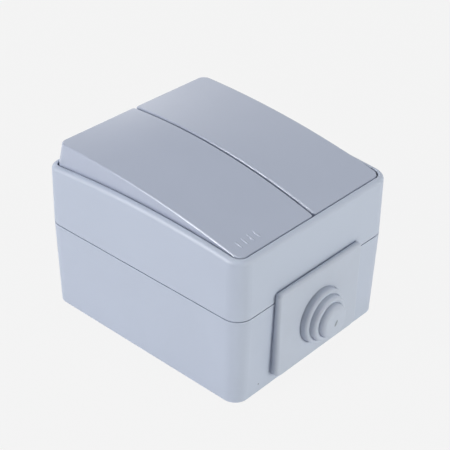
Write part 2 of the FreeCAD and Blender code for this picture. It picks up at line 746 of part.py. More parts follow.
def make_cover_frame():
    body = new_body("cover_frame")
    outline = new_sketch(body, "XY_Plane", depth=cover_bottom)
    draw_polygon(outline, rectangle(half_width, half_length, s.corner_radius))
    above = rim_middle_height + 1
    pad(body, outline, above - cover_bottom, taper=-s.cover_draft)

    # The rim is arched along the housing.
    arch = new_sketch(body, "YZ_Plane")
    reach = half_length + 1
    low_end = rim_end_height - s.rim_fall
    points = [(-half_length, low_end), (ZERO, rim_middle_height), (half_length, low_end)]
    bow = arch.addGeometry(Part.Arc(*[FreeCAD.Vector(y.value, z.value, 0) for y, z in points]))
    path = [(half_length, low_end), (reach, low_end), (reach, above + 1), (-reach, above + 1),
            (-reach, low_end), (-half_length, low_end)]
    corners = [FreeCAD.Vector(y.value, z.value, 0) for y, z in path]
    lines = [arch.addGeometry(Part.LineSegment(a, b)) for a, b in zip(corners, corners[1:])]
    for first, second in zip(lines, lines[1:]):
        arch.addConstraint(Sketcher.Constraint("Coincident", first, 2, second, 1))
    arc_ends = [arch.getPoint(bow, end) for end in (1, 2)]
    right_end = 1 if arc_ends[0].x > 0 else 2
    arch.addConstraint(Sketcher.Constraint("Coincident", bow, right_end, lines[0], 1))
    arch.addConstraint(Sketcher.Constraint("Coincident", bow, 3 - right_end, lines[-1], 2))
    for line, point in zip(lines, path):
        pin_point(arch, line, 1, point)
    pin_point(arch, lines[-1], 2, path[-1])
    top = arch.addGeometry(Part.Point(FreeCAD.Vector(0, rim_middle_height.value, 0)), True)
    pin_point(arch, top, 1, points[1])
    arch.addConstraint(Sketcher.Constraint("PointOnObject", top, 1, bow))
    pocket(body, arch, s.box_width + 2, symmetric=True)
    round_edges(body, s.rim_edge, lambda edge: edge.BoundBox.ZMin > low_end.value - 0.5)

    well = new_sketch(body, "XY_Plane", depth=above)
    draw_polygon(well, rectangle(well_half_width, well_half_length, s.well_corner))
    pocket(body, well, above - deck_top)

    def inner_rim(edge):
        box = edge.BoundBox
        in_plan = max(abs(box.XMin), abs(box.XMax)) < well_half_width.value + 0.01
        in_plan = in_plan and max(abs(box.YMin), abs(box.YMax)) < well_half_length.value + 0.01
        return in_plan and box.ZMin > low_end.value - 0.5
    round_edges(body, s.rim_inner_edge, inner_rim)

    under = new_sketch(body, "XY_Plane", depth=cover_bottom)
    draw_polygon(under, pillared_outline(s.skirt_wall))
    pocket(body, under, deck_bottom - cover_bottom, reverse=True)
    outer = s.groove_inset
    sketch, depth = ring(body, cover_bottom, s.groove_depth, outer, outer + s.groove_width)
    pocket(body, sketch, depth, reverse=True)
    notch = new_sketch(body, "XZ_Plane", depth=half_length + 1)
    draw_polygon(notch, span(-slot_half_width, slot_half_width, s.parting_height - 1, tongue_top))
    pocket(body, notch, 1 + s.skirt_wall + 0.5)

    holes = four_circles(body, deck_top, pillar_x, pillar_y, s.screw_clearance_radius)
    pocket(body, holes, deck_top - cover_bottom)
    counterbores = four_circles(body, deck_top, pillar_x, pillar_y, s.counterbore_radius)
    pocket(body, counterbores, s.counterbore_depth)
    windows = four_circles(body, deck_top, gang_x, s.push_y, s.window_radius)
    pocket(body, windows, s.deck_thickness)

    # Snap-in bearing ears for the rockers' pintles.
    for gang, sign in GANGS:
        for side in (-1, 1):
            start = sign * gang_x + side * ear_offset - s.ear_thickness / 2
            ear = new_sketch(body, "YZ_Plane", depth=start)
            sunk = deck_top - s.deck_thickness / 2
            draw_polygon(ear, ear_outline(sunk, rocker_pivot_height, s.ear_base_half_width, s.ear_radius))
            pad(body, ear, s.ear_thickness)
    ears_span = 2 * (gang_x + ear_offset + s.ear_thickness)
    bearings = new_sketch(body, "YZ_Plane")
    draw_circle(bearings, ZERO, rocker_pivot_height, bearing_radius)
    pocket(body, bearings, ears_span, symmetric=True)
    slots = new_sketch(body, "YZ_Plane")
    ear_top = rocker_pivot_height + s.ear_radius
    draw_polygon(slots, [
        (-s.snap_slot_half_width, rocker_pivot_height),
        (s.snap_slot_half_width, rocker_pivot_height),
        (s.snap_slot_half_width * 1.6, ear_top + 0.2),
        (-s.snap_slot_half_width * 1.6, ear_top + 0.2),
    ])
    pocket(body, slots, ears_span, symmetric=True)

    stakes = new_sketch(body, "XY_Plane", depth=deck_bottom)
    for x, y in stake_places():
        draw_circle(stakes, x, y, s.stake_radius)
    pad(body, stakes, s.membrane_thickness + s.retainer_thickness + s.stake_head, reverse=True)


def stake_places():
    """Heat stakes that hold the membrane and its plate under the deck."""
    return [(stake_x, ZERO), (-stake_x, ZERO), (ZERO, s.stake_y), (ZERO, -s.stake_y)]


def make_cover_gasket():
    body = new_body("cover_gasket")
    outer = s.groove_inset + s.gasket_fit
    inner = s.groove_inset + s.groove_width - s.gasket_fit
    sketch, height = ring(body, tongue_top, groove_top - tongue_top, outer, inner)
    pad(body, sketch, height)


def dome_top(sign):
    """Height of a membrane dome just under its pusher, with the rocker at rest."""
    tip = rocker_pivot_height + sign * s.push_y * sine(s.rest_tilt) - s.pusher_drop * cosine(s.rest_tilt)
    return tip - s.dome_gap


def make_sealing_membrane():
    body = new_body("sealing_membrane")
    flat = new_sketch(body, "XY_Plane", depth=membrane_bottom)
    draw_polygon(flat, rectangle(membrane_half_width, s.membrane_half_length, s.well_corner))
    inner_radius = s.dome_base_radius - s.dome_skin
    for side in (-1, 1):
        for end in (-1, 1):
            draw_circle(flat, side * gang_x, end * s.push_y, inner_radius)
    for x, y in stake_places():
        draw_circle(flat, x, y, s.stake_radius + s.gasket_fit)
    pad(body, flat, s.membrane_thickness)
    for side in (-1, 1):
        for end in (-1, 1):
            top = dome_top(end)
            dome = new_sketch(body, "XZ_Plane", depth=-end * s.push_y, across=side * gang_x)
            draw_polygon(dome, [
                (ZERO, top),
                (s.dome_tip_radius, top, s.dome_edge),
                (s.dome_base_radius, membrane_bottom),
                (s.dome_base_radius - s.dome_skin, membrane_bottom),
                (s.dome_tip_radius - s.dome_skin, top - s.dome_skin),
                (ZERO, top - s.dome_skin),
            ])
            turn("Revolution", body, dome, "V_Axis")


def make_membrane_retainer():
    body = new_body("membrane_retainer")
    sketch = new_sketch(body, "XY_Plane", depth=retainer_bottom)
    width = membrane_half_width - s.retainer_inset
    length = s.membrane_half_length - s.retainer_inset
    draw_polygon(sketch, rectangle(width, length, s.well_corner - s.retainer_inset))
    for side in (-1, 1):
        for end in (-1, 1):
            draw_circle(sketch, side * gang_x, end * s.push_y, s.retainer_hole_radius)
    for x, y in stake_places():
        draw_circle(sketch, x, y, s.stake_radius + s.gasket_fit)
    pad(body, sketch, s.retainer_thickness)


# The rockers

def crown_height(at_side, y_share):
    """Height of the crowned top: at_side 0 at the split and 1 at the outer side."""
    middle = crown_split_height + at_side * (crown_side_height - crown_split_height)
    return crown_end_height + (middle - crown_end_height) * (1 - y_share * y_share)


def make_rocker(gang, sign):
    body = new_body(f"rocker_{gang}")
    inner = sign * s.rocker_split_half_gap
    outer = sign * (well_half_width - s.rocker_gap)
    corner_out = s.rocker_outer_corner
    corner_in = s.rocker_inner_corner

    def outline(height, side_shift, end_shift):
        sketch = new_sketch(body, "XY_Plane", depth=height)
        end = rocker_half_length - end_shift
        draw_polygon(sketch, [
            (inner + sign * side_shift, -end, corner_in),
            (outer - sign * side_shift, -end, corner_out),
            (outer - sign * side_shift, end, corner_out),
            (inner + sign * side_shift, end, corner_in),
        ])
        return sketch

    skirt = outline(rocker_bottom, ZERO, ZERO)
    pad(body, skirt, rocker_draft_start - rocker_bottom)
    above = crown_split_height + 2
    rise = above - rocker_draft_start
    low = outline(rocker_draft_start, ZERO, ZERO)
    high = outline(above, rise * tangent(s.rocker_side_draft), rise * tangent(s.rocker_end_draft))
    loft("AdditiveLoft", body, [low, high])

    # The crowned top: straight across at the ends, highest at the split half-way.
    def crown_section(y, y_share, bottom_side, bottom_split, roof, x_split, x_side):
        sketch = new_sketch(body, "XZ_Plane", depth=-y)
        draw_polygon(sketch, [
            (x_split, bottom_split),
            (x_side, bottom_side),
            (x_side, crown_height(1, y_share) - roof if roof is not None else above + 1),
            (x_split, crown_height(0, y_share) - roof if roof is not None else above + 1),
        ])
        return sketch

    sky = []
    for y_share in (-1, 0, 1):
        y = y_share * rocker_half_length
        low_split = crown_height(0, Size.of(y_share))
        low_side = crown_height(1, Size.of(y_share))
        margin_in = inner - sign * 0.1
        sky.append(crown_section(y, y_share, low_side, low_split, None, margin_in, outer))
    loft("SubtractiveLoft", body, sky)
    edge_floor = crown_end_height.value - 1
    round_edges(body, s.rocker_edge, lambda edge: edge.BoundBox.ZMin > edge_floor)

    # Hollow underside with a roof of even thickness.
    inner_length = rocker_half_length - s.rocker_wall - (crown_end_height - rocker_draft_start) * tangent(
        s.rocker_end_draft)
    share = inner_length / rocker_half_length
    floor = rocker_bottom - 1
    hollow = []
    for step in (-1, 0, 1):
        y_share = step * share
        y = step * inner_length
        wall_in = inner + sign * s.rocker_wall
        wall_out = outer - sign * (s.rocker_wall + 0.3)
        hollow.append(crown_section(y, y_share, floor, floor, s.rocker_roof, wall_in, wall_out))
    loft("SubtractiveLoft", body, hollow)

    # Hanger web with two pintles, and the two ribs that push the membrane.
    inside_roof = crown_end_height + s.rocker_roof / 2
    centre = sign * gang_x
    web = new_sketch(body, "XZ_Plane")
    web_bottom = rocker_pivot_height - s.journal_radius - 0.2
    half = hanger_half_width
    draw_polygon(web, span(centre - half, centre + half, web_bottom, inside_roof))
    pad(body, web, s.hanger_thickness, symmetric=True)
    pintle = new_sketch(body, "YZ_Plane", depth=centre - pintle_half_length)
    draw_circle(pintle, ZERO, rocker_pivot_height, s.journal_radius)
    pad(body, pintle, 2 * pintle_half_length)
    ribs = new_sketch(body, "YZ_Plane", depth=centre - s.pusher_half_width)
    rib_half = s.hanger_thickness / 2
    for end in (-1, 1):
        y = end * s.push_y
        draw_polygon(ribs, [
            (y - rib_half, inside_roof),
            (y - rib_half, pusher_tip_height, rib_half * 0.9),
            (y + rib_half, pusher_tip_height, rib_half * 0.9),
            (y + rib_half, inside_roof),
        ])
    pad(body, ribs, 2 * s.pusher_half_width)
    place(body, tilt=s.rest_tilt, pivot_height=rocker_pivot_height)


# The mechanism

def make_mechanism_body():
    body = new_body("mechanism_body")
    outline = new_sketch(body, "XY_Plane", depth=mechanism_bottom)
    draw_polygon(outline, rectangle(mechanism_half_width, s.mechanism_half_length, s.mechanism_corner))
    pad(body, outline, mechanism_height - mechanism_bottom)

    for gang, sign in GANGS:
        centre = sign * gang_x
        wide = s.chamber_half_width
        upper = new_sketch(body, "XY_Plane", depth=mechanism_height)
        length = s.chamber_half_length
        draw_polygon(upper, span(centre - wide, centre + wide, -length, length))
        pocket(body, upper, mechanism_height - rest_height)
        lower = new_sketch(body, "XY_Plane", depth=rest_height)
        draw_polygon(lower, span(centre - wide, centre + wide, -length, s.rest_start))
        pocket(body, lower, rest_height - chamber_floor)
        channel = new_sketch(body, "XY_Plane", depth=rest_height)
        slim = s.channel_half_width
        draw_polygon(channel, span(centre - slim, centre + slim, s.rest_start - 0.5, length + 0.5))
        pocket(body, channel, rest_height - chamber_floor)
        side = s.terminal_pocket_half_width
        pockets = new_sketch(body, "XY_Plane", depth=mechanism_height)
        outside = s.mechanism_half_length + 1
        draw_polygon(pockets, span(centre - side, centre + side, length - 0.1, outside))
        draw_polygon(pockets, span(centre - side, centre + side, -outside, 0.1 - length))
        pocket(body, pockets, mechanism_height - chamber_floor)

    sockets = new_sketch(body, "XY_Plane", depth=mechanism_bottom)
    holes = new_sketch(body, "XY_Plane", depth=mechanism_height)
    for end in (-1, 1):
        draw_circle(sockets, ZERO, end * s.post_y, s.post_radius + s.post_fit)
        draw_circle(holes, ZERO, end * s.post_y, s.screw_clearance_radius)
    pocket(body, sockets, post_height - mechanism_bottom, reverse=True)
    pocket(body, holes, mechanism_height - mechanism_bottom)


def make_mechanism_top():
    body = new_body("mechanism_top")
    plate = new_sketch(body, "XY_Plane", depth=mechanism_height)
    draw_polygon(plate, rectangle(mechanism_half_width, s.top_plate_half_length, s.mechanism_corner))
    for gang, sign in GANGS:
        wide = s.cradle_window_half_width
        long = s.cradle_window_half_length
        draw_polygon(plate, span(sign * gang_x - wide, sign * gang_x + wide, -long, long))
    for end in (-1, 1):
        draw_circle(plate, ZERO, end * s.post_y, s.screw_clearance_radius)
    pad(body, plate, s.top_plate_thickness)
    for gang, sign in GANGS:
        for side in (-1, 1):
            start = sign * gang_x + side * s.cheek_offset - s.cheek_thickness / 2
            cheek = new_sketch(body, "YZ_Plane", depth=start)
            sunk = top_plate_top - s.top_plate_thickness / 2
            corners = ear_outline(sunk, cradle_pivot_height, s.cheek_base_half_width, s.ear_radius)
            draw_polygon(cheek, corners)
            pad(body, cheek, s.cheek_thickness)
    bearings = new_sketch(body, "YZ_Plane")
    draw_circle(bearings, ZERO, cradle_pivot_height, bearing_radius)
    pocket(body, bearings, 2 * (gang_x + s.cheek_offset + s.cheek_thickness), symmetric=True)


def make_cradle(gang, sign):
    body = new_body(f"cradle_{gang}")
    pivot = cradle_pivot_height
    hub = new_sketch(body, "YZ_Plane")
    draw_circle(hub, ZERO, pivot, s.hub_radius)
    pad(body, hub, 2 * s.hub_half_width, symmetric=True)
    journal = new_sketch(body, "YZ_Plane")
    draw_circle(journal, ZERO, pivot, s.journal_radius)
    pad(body, journal, 2 * (s.cheek_offset + s.cheek_thickness / 2), symmetric=True)
    wings = new_sketch(body, "YZ_Plane")
    long = s.wing_half_length
    draw_polygon(wings, [
        (-long, wing_bottom, s.wing_edge),
        (long, wing_bottom, s.wing_edge),
        (long, wing_top),
        (-long, wing_top),
    ])
    pad(body, wings, 2 * s.wing_half_width, symmetric=True)
    posts = new_sketch(body, "XY_Plane", depth=(wing_bottom + wing_top) / 2)
    middle_dome = dome_top(0)
    tip = pivot + (middle_dome - s.dome_skin - s.push_post_gap - pivot) / cosine(s.rest_tilt)
    for end in (-1, 1):
        draw_circle(posts, ZERO, end * s.push_y, s.push_post_radius)
    pad(body, posts, tip - (wing_bottom + wing_top) / 2)
    round_edges(body, s.push_post_edge, lambda edge: edge.BoundBox.ZMin > tip.value - 0.01)
    sleeve = new_sketch(body, "XY_Plane", depth=sleeve_bottom)
    draw_circle(sleeve, ZERO, ZERO, s.sleeve_radius)
    pad(body, sleeve, pivot - sleeve_bottom)
    bore = new_sketch(body, "XY_Plane", depth=sleeve_bottom)
    draw_circle(bore, ZERO, ZERO, s.bore_radius)
    pocket(body, bore, bore_top - sleeve_bottom, reverse=True)
    place(body, x=sign * gang_x, tilt=s.rest_tilt, pivot_height=pivot)


def make_plunger(gang, sign):
    body = new_body(f"plunger_{gang}")
    tip = plunger_tip_height
    sketch = new_sketch(body, "XZ_Plane")
    draw_polygon(sketch, [
        (ZERO, tip),
        (s.plunger_tip_radius, tip, s.plunger_tip_radius * 0.95),
        (s.plunger_tip_radius, plunger_shoulder - (s.plunger_radius - s.plunger_tip_radius)),
        (s.plunger_radius, plunger_shoulder),
        (s.plunger_radius, plunger_top),
        (ZERO, plunger_top),
    ])
    turn("Revolution", body, sketch, "V_Axis")
    place(body, x=sign * gang_x, tilt=s.rest_tilt, pivot_height=cradle_pivot_height)


def make_detent_spring(gang, sign):
    """Compression spring between the plunger and the end of the cradle's bore."""
    label = f"detent_spring_{gang}"
    low = plunger_top + s.spring_wire_radius + s.spring_end_gap
    high = bore_top - s.spring_wire_radius - s.spring_end_gap
    path = doc.addObject("Part::Helix", f"{label}_path")
    bind(path, "Pitch", s.spring_pitch)
    bind(path, "Height", high - low)
    bind(path, "Radius", s.spring_radius)
    bind(path, "Placement.Base.z", low)
    wire = doc.addObject("Part::Circle", f"{label}_wire")
    bind(wire, "Radius", s.spring_wire_radius)
    wire.Placement = FreeCAD.Placement(FreeCAD.Vector(), FreeCAD.Rotation(ALONG_X, 90))
    bind(wire, "Placement.Base.x", s.spring_radius)
    bind(wire, "Placement.Base.z", low)
    spring = doc.addObject("Part::Sweep", label)
    spring.Label = label
    spring.Sections = [wire]
    spring.Spine = (path, ["Edge1"])
    spring.Solid = True
    spring.Frenet = True
    NODES.append(spring)
    place(spring, x=sign * gang_x, tilt=s.rest_tilt, pivot_height=cradle_pivot_height)


def make_contact_bridge(gang, sign):
    body = new_body(f"contact_bridge_{gang}")
    middle = bridge_pivot_height
    low = middle - s.bridge_thickness / 2
    high = middle + s.bridge_thickness / 2
    lift = s.bridge_arm * tangent(s.bridge_rise)
    arms = new_sketch(body, "YZ_Plane")
    draw_polygon(arms, [
        (-s.bridge_arm, low + lift),
        (ZERO, low),
        (s.bridge_arm, low + lift),
        (s.bridge_arm, high + lift),
        (ZERO, high),
        (-s.bridge_arm, high + lift),
    ])
    pad(body, arms, 2 * s.bridge_half_width, symmetric=True)
    lugs = new_sketch(body, "YZ_Plane")
    draw_circle(lugs, ZERO, middle, s.lug_radius)
    pad(body, lugs, 2 * s.lug_half_length, symmetric=True)

    # Silver button under the closing arm, square to the arm.
    def on_arm(along, down):
        y = -(along * cosine(s.bridge_rise)) - down * sine(s.bridge_rise)
        z = low + along * sine(s.bridge_rise) - down * cosine(s.bridge_rise)
        return (y, z)
    button_end = s.button_start + 2 * s.button_half_width * 0.75
    sunk = -(s.bridge_thickness / 2)
    button = new_sketch(body, "YZ_Plane")
    draw_polygon(button, [
        on_arm(s.button_start, sunk),
        on_arm(s.button_start, s.button_height) + (s.button_height / 3,),
        on_arm(button_end, s.button_height) + (s.button_height / 3,),
        on_arm(button_end, sunk),
    ])
    pad(body, button, 2 * s.button_half_width, symmetric=True)
    place(body, x=sign * gang_x, tilt=-s.bridge_tilt, pivot_height=middle)


def add_clamp(body, end):
    """Brass clamp at the strip's end: end is -1 or +1 along Y. A wire enters along Y."""
    low = chamber_floor
    middle = s.clamp_start + s.clamp_length / 2
    block = new_sketch(body, "XY_Plane", depth=low)
    draw_polygon(block, rectangle(s.clamp_half_width, s.clamp_length / 2, None, end * middle))
    pad(body, block, clamp_top - low)
    round_edges(body, s.clamp_edge, lambda edge: edge.BoundBox.ZMin > clamp_top.value - 0.01)
    wire = new_sketch(body, "XZ_Plane", depth=-end * middle)
    draw_circle(wire, ZERO, wire_hole_height, s.wire_hole_radius)
    pocket(body, wire, s.clamp_length + 0.2, symmetric=True)
    screw = new_sketch(body, "XY_Plane", depth=clamp_top)
    draw_circle(screw, ZERO, end * middle, s.terminal_screw_hole_radius)
    pocket(body, screw, clamp_top - wire_hole_height)


def make_common_terminal(gang, sign):
    """Strip with the fulcrum that the contact bridge rocks on."""
    body = new_body(f"common_terminal_{gang}")
    low = chamber_floor
    strip = new_sketch(body, "XY_Plane", depth=low)
    wide = s.fulcrum_half_width
    slim = s.strip_half_width
    near = s.fulcrum_half_length
    far = s.clamp_start + 0.5
    draw_polygon(strip, [
        (-wide, -near), (wide, -near), (wide, near), (slim, near),
        (slim, far), (-slim, far), (-slim, near), (-wide, near),
    ])
    pad(body, strip, s.strip_thickness)
    for side in (-1, 1):
        start = side * wide if side < 0 else wide - s.fulcrum_wall
        ear = new_sketch(body, "YZ_Plane", depth=start)
        draw_polygon(ear, [
            (-near, low + s.strip_thickness / 2),
            (near, low + s.strip_thickness / 2),
            (near * 0.6, fulcrum_top),
            (-near * 0.6, fulcrum_top),
        ])
        pad(body, ear, s.fulcrum_wall)
    notch = new_sketch(body, "YZ_Plane")
    notch_floor = bridge_pivot_height - s.notch_half_width
    draw_polygon(notch, [
        (s.notch_half_width, fulcrum_top + 1),
        (-s.notch_half_width, fulcrum_top + 1),
        (-s.notch_half_width, notch_floor, s.notch_half_width * 0.9),
        (s.notch_half_width, notch_floor, s.notch_half_width * 0.9),
    ])
    pocket(body, notch, 2 * wide + 1, symmetric=True)
    add_clamp(body, 1)
    place(body, x=sign * gang_x)


def make_load_terminal(gang, sign):
    """Strip with the fixed contact that the bridge closes on."""
    body = new_body(f"load_terminal_{gang}")
    low = chamber_floor
    strip = new_sketch(body, "XY_Plane", depth=low)
    slim = s.strip_half_width
    draw_polygon(strip, span(-slim, slim, -(s.clamp_start + 0.5), -s.load_strip_start))
    pad(body, strip, s.strip_thickness)
    rivet = new_sketch(body, "XY_Plane", depth=low + s.strip_thickness / 2)
    draw_circle(rivet, ZERO, -s.fixed_contact_y, s.fixed_contact_radius)
    pad(body, rivet, fixed_contact_top - low - s.strip_thickness / 2)
    round_edges(body, s.clamp_edge, lambda edge: edge.BoundBox.ZMin > fixed_contact_top.value - 0.01)
    add_clamp(body, -1)
    place(body, x=sign * gang_x)


# Screws and their seals

def make_screws(label, places, seat, head_radius, head_height, shank_radius, end_height):
    """Pan head screws with a straight slot, one at each place."""
    body = new_body(label)
    heads = new_sketch(body, "XY_Plane", depth=seat)
    for x, y in places:
        draw_circle(heads, x, y, head_radius)
    pad(body, heads, head_height)
    top = seat + head_height
    round_edges(body, s.head_edge, lambda edge: edge.BoundBox.ZMin > top.value - 0.01)
    shanks = new_sketch(body, "XY_Plane", depth=end_height)
    for x, y in places:
        draw_circle(shanks, x, y, shank_radius)
    pad(body, shanks, seat - end_height + head_height / 4)
    slots = new_sketch(body, "XY_Plane", depth=top)
    reach = head_radius + 1
    half = s.drive_slot_half_width
    for x, y in places:
        draw_polygon(slots, span(x - reach, x + reach, y - half, y + half))
    pocket(body, slots, s.drive_slot_depth)


def make_cover_screw_seals():
    body = new_body("cover_screw_seals")
    sketch = new_sketch(body, "XY_Plane", depth=counterbore_floor)
    for side in (-1, 1):
        for end in (-1, 1):
            draw_circle(sketch, side * pillar_x, end * pillar_y, s.cover_screw_head_radius + 0.2)
            draw_circle(sketch, side * pillar_x, end * pillar_y, s.screw_core_radius + 0.1)
    pad(body, sketch, s.seal_thickness)


make_base_box()
make_grommet()
make_cover_frame()
make_cover_gasket()
make_sealing_membrane()
make_membrane_retainer()
make_mechanism_body()
make_mechanism_top()
for gang, sign in GANGS:
    make_rocker(gang, sign)
    make_cradle(gang, sign)
    make_plunger(gang, sign)
    make_detent_spring(gang, sign)
    make_contact_bridge(gang, sign)
    make_common_terminal(gang, sign)
    make_load_terminal(gang, sign)
make_screws("cover_screws", corners_at(pillar_x, pillar_y), head_seat, s.cover_screw_head_radius,
            s.cover_screw_head_height, s.screw_core_radius, head_seat - s.cover_screw_length)
make_screws("mechanism_screws", [(ZERO, s.post_y), (ZERO, -s.post_y)], top_plate_top,
            s.mechanism_screw_head_radius, s.mechanism_screw_head_height, s.screw_core_radius,
            mechanism_screw_end)
make_screws("terminal_screws", corners_at(gang_x, s.clamp_start + s.clamp_length / 2), clamp_top,
            s.terminal_screw_head_radius, s.terminal_screw_head_height, s.terminal_screw_radius,
            terminal_screw_end)
make_cover_screw_seals()
doc.recompute()

# Checks before anything is written
for item in doc.Objects:
    if "Invalid" in item.State or "Error" in item.State:
        raise RuntimeError(f"{item.Label} did not compute: {item.getStatusString()}")
for node in NODES:
    if node.Shape.isNull() or not node.Shape.isValid():
        raise RuntimeError(f"{node.Label} has no valid shape")

os.makedirs("parts", exist_ok=True)
for node in NODES:
    node.Shape.exportStep(f"parts/{node.Label}.step")
    box = node.Shape.BoundBox
    print(f"{node.Label}: {len(node.Shape.Solids)} solids, {node.Shape.Volume:.1f} mm3, "
          f"z {box.ZMin:.2f} to {box.ZMax:.2f}")
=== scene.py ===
import math

import bmesh
import bpy
from mathutils import Matrix, Vector
from mathutils.bvhtree import BVHTree


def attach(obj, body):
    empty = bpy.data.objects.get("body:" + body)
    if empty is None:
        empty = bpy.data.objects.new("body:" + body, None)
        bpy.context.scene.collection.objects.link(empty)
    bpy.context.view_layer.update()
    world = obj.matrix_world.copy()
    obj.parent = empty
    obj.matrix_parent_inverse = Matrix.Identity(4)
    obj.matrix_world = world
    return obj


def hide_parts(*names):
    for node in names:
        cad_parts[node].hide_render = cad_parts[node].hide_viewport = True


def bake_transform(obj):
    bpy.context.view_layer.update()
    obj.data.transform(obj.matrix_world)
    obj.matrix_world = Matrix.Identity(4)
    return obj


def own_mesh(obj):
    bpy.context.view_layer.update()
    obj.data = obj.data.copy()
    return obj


# Outdoor weatherproof switch: blue-grey moulded housing and rockers, rubber cable entry,
# studio light on a pale floor. Everything is in metres, in the CAD part's own frame.

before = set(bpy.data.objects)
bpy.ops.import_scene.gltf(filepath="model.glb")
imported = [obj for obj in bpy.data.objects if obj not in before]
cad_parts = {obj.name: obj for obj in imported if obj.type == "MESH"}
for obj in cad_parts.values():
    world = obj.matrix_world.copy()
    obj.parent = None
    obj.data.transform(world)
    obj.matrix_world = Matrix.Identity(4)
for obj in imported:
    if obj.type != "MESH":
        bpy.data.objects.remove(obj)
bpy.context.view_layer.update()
MM = 0.001

# Colours, as sRGB hex
HOUSING_BLUE_GREY = "#B7C0D2"
ROCKER_BLUE_GREY = "#B4BCCF"
GROMMET_BLUE_GREY = "#B8C0D0"
# Painted shade: the slit's colour is darker than the grommet's rubber, standing for the shade inside
# the cut.
SLIT_PAINTED_SHADE = "#8A919C"
GATE_GREY = "#6F7680"
SEAL_BLACK = "#1E1F22"
SILICONE_GREY = "#7C8089"
THERMOSET_IVORY = "#D6D2C6"
NYLON_GRAPHITE = "#4A4E56"
ACETAL_WHITE = "#ECECE8"
SPRING_STEEL = "#A6A8AC"
COPPER_ALLOY = "#C98A62"
BRASS = "#C9A455"
ZINC_PLATE = "#B9BCC0"
STUDIO_PALE = "#F4F4F4"


def linear(hex_code):
    """An sRGB hex colour as the linear RGBA that the shaders take."""
    channels = [int(hex_code[i:i + 2], 16) / 255 for i in (1, 3, 5)]
    curve = [c / 12.92 if c <= 0.04045 else ((c + 0.055) / 1.055) ** 2.4 for c in channels]
    return (*curve, 1.0)


def grey(level):
    return (level, level, level, 1.0)


def shade(hex_code, factor):
    """The same colour, lighter or darker by a factor."""
    r, g, b, a = linear(hex_code)
    return (min(r * factor, 1), min(g * factor, 1), min(b * factor, 1), a)


def per_mm(size_mm):
    """Texture scale for a pattern whose features are this many millimetres apart."""
    return 1000.0 / size_mm


def add(tree, kind, inputs=None, **settings):
    """Add a node, set its options, then fill or link its inputs by name or number."""
    node = tree.nodes.new(kind)
    for key, value in settings.items():
        setattr(node, key, value)
    for key, value in (inputs or {}).items():
        if isinstance(value, bpy.types.NodeSocket):
            tree.links.new(value, node.inputs[key])
        else:
            node.inputs[key].default_value = value
    return node


def new_material(name):
    """An empty node material with its output, and the object's own coordinates."""
    material = bpy.data.materials.new(name)
    material.use_nodes = True
    tree = material.node_tree
    tree.nodes.clear()
    output = add(tree, "ShaderNodeOutputMaterial")
    place = add(tree, "ShaderNodeTexCoord").outputs["Object"]
    return material, tree, output, place


def noise(tree, place, size_mm, detail=3.0, roughness=0.55, distortion=0.0):
    return add(tree, "ShaderNodeTexNoise", {
        "Vector": place,
        "Scale": per_mm(size_mm),
        "Detail": detail,
        "Roughness": roughness,
        "Distortion": distortion,
    }).outputs["Fac"]


def between(tree, factor, low, high):
    """Map the middle half of a noise pattern, where nearly all of it lies, to a range of numbers."""
    return add(tree, "ShaderNodeMapRange", {
        "Value": factor,
        "From Min": 0.25,
        "From Max": 0.75,
        "To Min": low,
        "To Max": high,
    }).outputs["Result"]


# The sockets of a Mix node that blends colours, which share their names with its other sockets
MIX_FACTOR, MIX_FIRST, MIX_SECOND, MIX_RESULT = 0, 6, 7, 2


def blend_colours(tree, factor, first, second):
    return add(tree, "ShaderNodeMix", {
        MIX_FACTOR: factor,
        MIX_FIRST: first,
        MIX_SECOND: second,
    }, data_type="RGBA").outputs[MIX_RESULT]


def mottled(tree, pattern, colour, dark, light):
    """The colour, between darker and lighter by two factors, as the pattern goes."""
    share = between(tree, pattern, 0, 1)
    return blend_colours(tree, share, shade(colour, dark), shade(colour, light))


def relief(tree, height, strength, depth_mm):
    return add(tree, "ShaderNodeBump", {
        "Strength": strength,
        "Distance": depth_mm * MM,
        "Height": height,
    }).outputs["Normal"]


def moulded_abs(name, colour, roughness, grit_mm, grit_depth_mm):
    """ABS, injection moulded: even colour with faint flow marks, and the fine grain that the
    spark-eroded mould leaves. It gives a soft, slightly waxy sheen, tighter on the rockers,
    whose mould is polished."""
    material, tree, output, place = new_material(name)
    flow = noise(tree, place, size_mm=28, detail=2, distortion=0.8)
    polish = noise(tree, place, size_mm=6, detail=4)
    # The real grit is about 0.03 mm; it is drawn coarser so that it shows.
    grit = noise(tree, place, grit_mm, detail=2)
    surface = add(tree, "ShaderNodeBsdfPrincipled", {
        "Base Color": mottled(tree, flow, colour, 0.985, 1.015),
        "Roughness": between(tree, polish, roughness - 0.03, roughness + 0.03),
        "IOR": 1.53,
        "Normal": relief(tree, grit, 0.35, grit_depth_mm),
    })
    tree.links.new(surface.outputs[0], output.inputs["Surface"])
    return material


def moulded_rubber(name, colour, roughness, bloom):
    """EPDM rubber, compression moulded: dull, with a pale bloom that gathers in patches."""
    material, tree, output, place = new_material(name)
    patches = noise(tree, place, size_mm=5, detail=5, roughness=0.6)
    pores = noise(tree, place, size_mm=0.4, detail=3)
    surface = add(tree, "ShaderNodeBsdfPrincipled", {
        "Base Color": mottled(tree, patches, colour, 1 - bloom, 1 + bloom),
        "Roughness": between(tree, patches, roughness - 0.05, roughness + 0.05),
        "IOR": 1.5,
        "Normal": relief(tree, pores, 0.5, 0.02),
    })
    tree.links.new(surface.outputs[0], output.inputs["Surface"])
    return material


